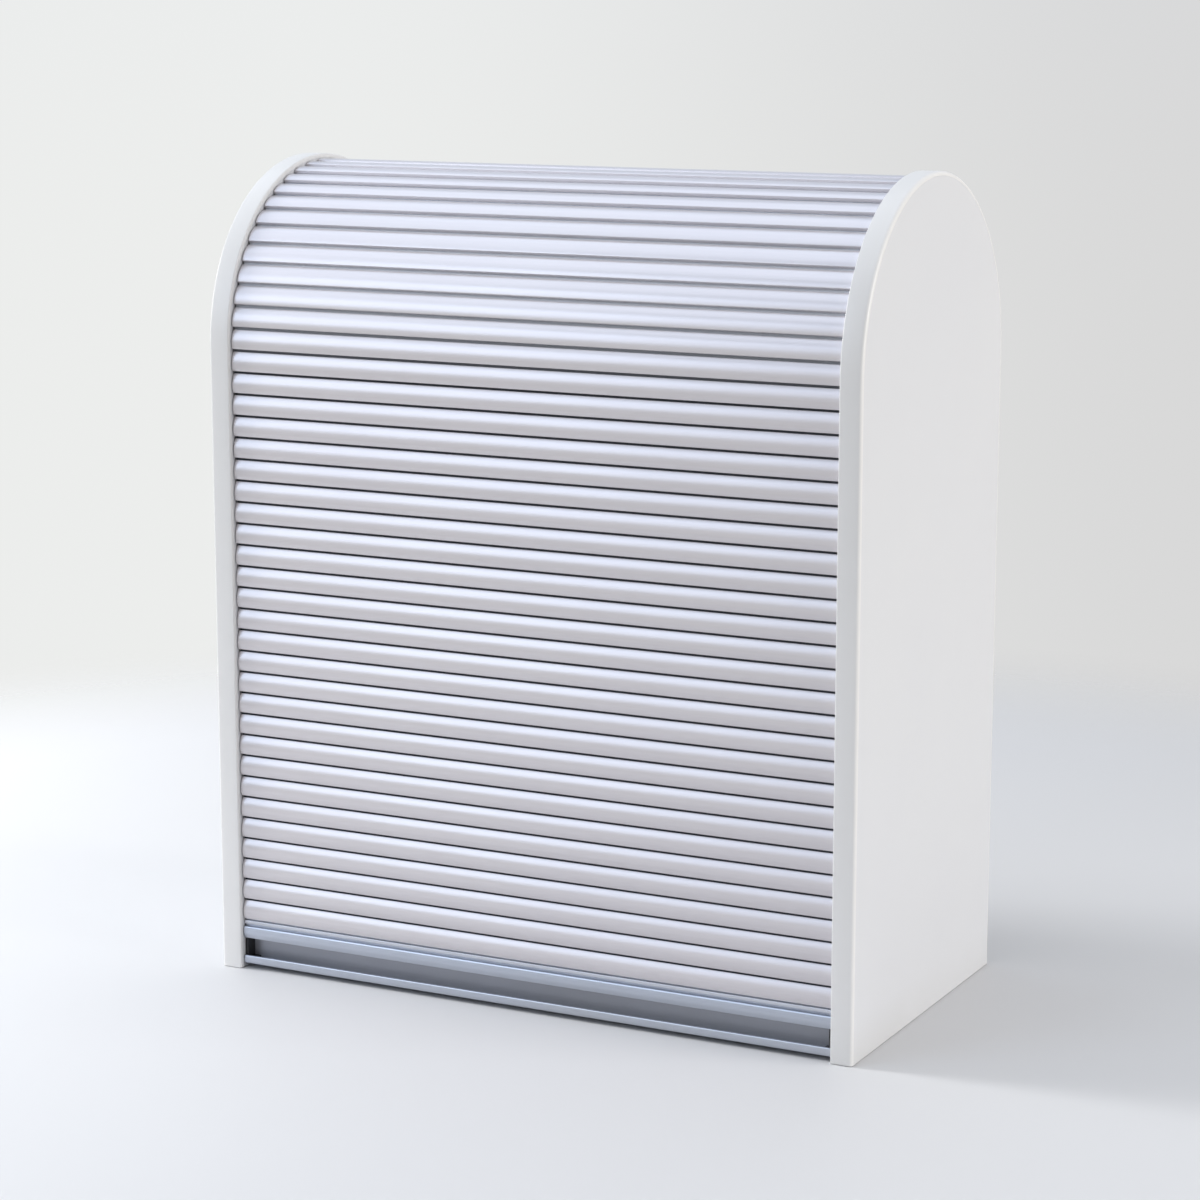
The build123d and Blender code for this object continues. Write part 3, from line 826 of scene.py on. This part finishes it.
def makeSky():
    world = bpy.data.worlds.new("studioSky")
    world.use_nodes = True
    scene.world = world
    tree = world.node_tree
    link = tree.links.new
    lit = tree.nodes["Background"]
    seen = put(tree, "ShaderNodeBackground", (0, -200), {"Strength": 1.0})
    # painted light on the backdrop, lighter towards the left
    across = put(tree, "ShaderNodeVectorMath", (-900, -150), {1: acrossView}, operation="DOT_PRODUCT")
    wallPaintedLight = smoothRange(tree, (-700, -150), studioSky["wallPaintedLightFrom"], studioSky["wallPaintedLightTo"])
    wall = put(tree, "ShaderNodeMix", (-250, -120), data_type="RGBA")
    wall.inputs["A"].default_value = studioSky["wallLeft"]
    wall.inputs["B"].default_value = studioSky["wallRight"]
    coord = put(tree, "ShaderNodeTexCoord", (-900, 100))
    parts = put(tree, "ShaderNodeSeparateXYZ", (-700, 100))
    rise = smoothRange(tree, (-500, 100), studioSky["riseFrom"], studioSky["riseTo"])
    sky = put(tree, "ShaderNodeMix", (-250, 100), data_type="RGBA")
    sky.inputs["A"].default_value = studioSky["low"]
    sky.inputs["B"].default_value = studioSky["top"]
    overhead = put(tree, "ShaderNodeMix", (-60, -180), data_type="RGBA")
    overhead.inputs["B"].default_value = studioSky["overhead"]
    path = put(tree, "ShaderNodeLightPath", (-500, -300))
    direct = put(tree, "ShaderNodeMath", (-250, -300), operation="MAXIMUM")
    anyView = put(tree, "ShaderNodeMath", (-60, -380), operation="MAXIMUM")
    mix = put(tree, "ShaderNodeMixShader", (260, 0))
    lit.inputs["Strength"].default_value = studioSky["strength"]
    link(coord.outputs["Generated"], across.inputs[0])
    link(across.outputs["Value"], wallPaintedLight.inputs["Value"])
    link(wallPaintedLight.outputs["Result"], wall.inputs["Factor"])
    link(wall.outputs["Result"], overhead.inputs["A"])
    link(rise.outputs["Result"], overhead.inputs["Factor"])
    link(overhead.outputs["Result"], seen.inputs["Color"])
    link(coord.outputs["Generated"], parts.inputs["Vector"])
    link(parts.outputs["Z"], rise.inputs["Value"])
    link(rise.outputs["Result"], sky.inputs["Factor"])
    link(sky.outputs["Result"], lit.inputs["Color"])
    link(path.outputs["Is Camera Ray"], direct.inputs[0])
    link(path.outputs["Is Glossy Ray"], direct.inputs[1])
    link(direct.outputs["Value"], anyView.inputs[0])
    link(path.outputs["Is Transmission Ray"], anyView.inputs[1])
    link(anyView.outputs["Value"], mix.inputs["Fac"])
    link(lit.outputs["Background"], mix.inputs[1])
    link(seen.outputs["Background"], mix.inputs[2])
    link(mix.outputs["Shader"], tree.nodes["World Output"].inputs["Surface"])


lamps = {
    "frontSoftbox": {
        "at": (-1.62, -2.40, 1.62), "aim": (0, -0.1, 0.3), "size": (1.4, 1.7),
        "power": 18.5, "colour": (0.69, 0.81, 0.98)},
    "lowKey": {
        "at": (-2.4, -0.42, 0.95), "aim": (0, -0.1, 0.25), "size": (0.5, 0.7),
        "power": 38, "colour": (0.98, 0.985, 1.0)},
    "sideSoftbox": {
        "at": (-2.35, -0.52, 1.1), "aim": (0, -0.1, 0.25), "size": (1.0, 1.0),
        "power": 26, "colour": (1.0, 0.965, 0.92)},
    "topSoftbox": {
        "at": (-0.9, -0.1, 2.75), "aim": (0, 0, 0.4), "size": (3.2, 2.8),
        "power": 33, "colour": (0.80, 0.89, 1.0)},
    "rightCard": {
        "at": (2.2, 0.1, 1.0), "aim": (0.25, 0, 0.3), "size": (1.2, 1.2),
        "power": 27, "colour": (1.0, 0.99, 0.975)},
}


def spareFrom(lamp, pieces):  # these cast shadows in the lamp's light but aren't lit by it
    spared = bpy.data.collections.new(lamp.name + "Spares")
    for piece in pieces:
        spared.objects.link(piece)
    for entry in spared.collection_objects:
        entry.light_linking.link_state = "EXCLUDE"
    lamp.light_linking.receiver_collection = spared


def makeLamps():
    for name, look in lamps.items():
        light = bpy.data.lights.new(name, "AREA")
        light.shape = "RECTANGLE"
        light.size, light.size_y = look["size"]
        light.energy = look["power"]
        light.color = look["colour"]
        lamp = bpy.data.objects.new(name, light)
        lamp.location = look["at"]
        lamp.visible_camera = False
        towards = Vector(look["aim"]) - Vector(look["at"])
        lamp.rotation_euler = towards.to_track_quat("-Z", "Y").to_euler()
        scene.collection.objects.link(lamp)
        if name == "lowKey":  # it makes the floor's shadow and would bleach the white sides
            sides = (nodes["left_side_panel"], nodes["right_side_panel"])
            spareFrom(lamp, (*sides, leftEdging, rightEdging))


photoCamera = {
    "at": (1.0375, -2.0481, 0.7170), "azimuth": 26.97, "pitch": 10.94, "lens": 97.29, "sensor": 36,
}


def makeCamera():
    data = bpy.data.cameras.new("photoCamera")
    data.lens, data.sensor_width = photoCamera["lens"], photoCamera["sensor"]
    camera = bpy.data.objects.new("photoCamera", data)
    camera.location = photoCamera["at"]
    tilt, turn = math.radians(90 - photoCamera["pitch"]), math.radians(photoCamera["azimuth"])
    camera.rotation_euler = (tilt, 0, turn)
    scene.collection.objects.link(camera)
    scene.camera = camera


makeFloor()
makeSky()
makeLamps()
makeCamera()
print("studio ready")
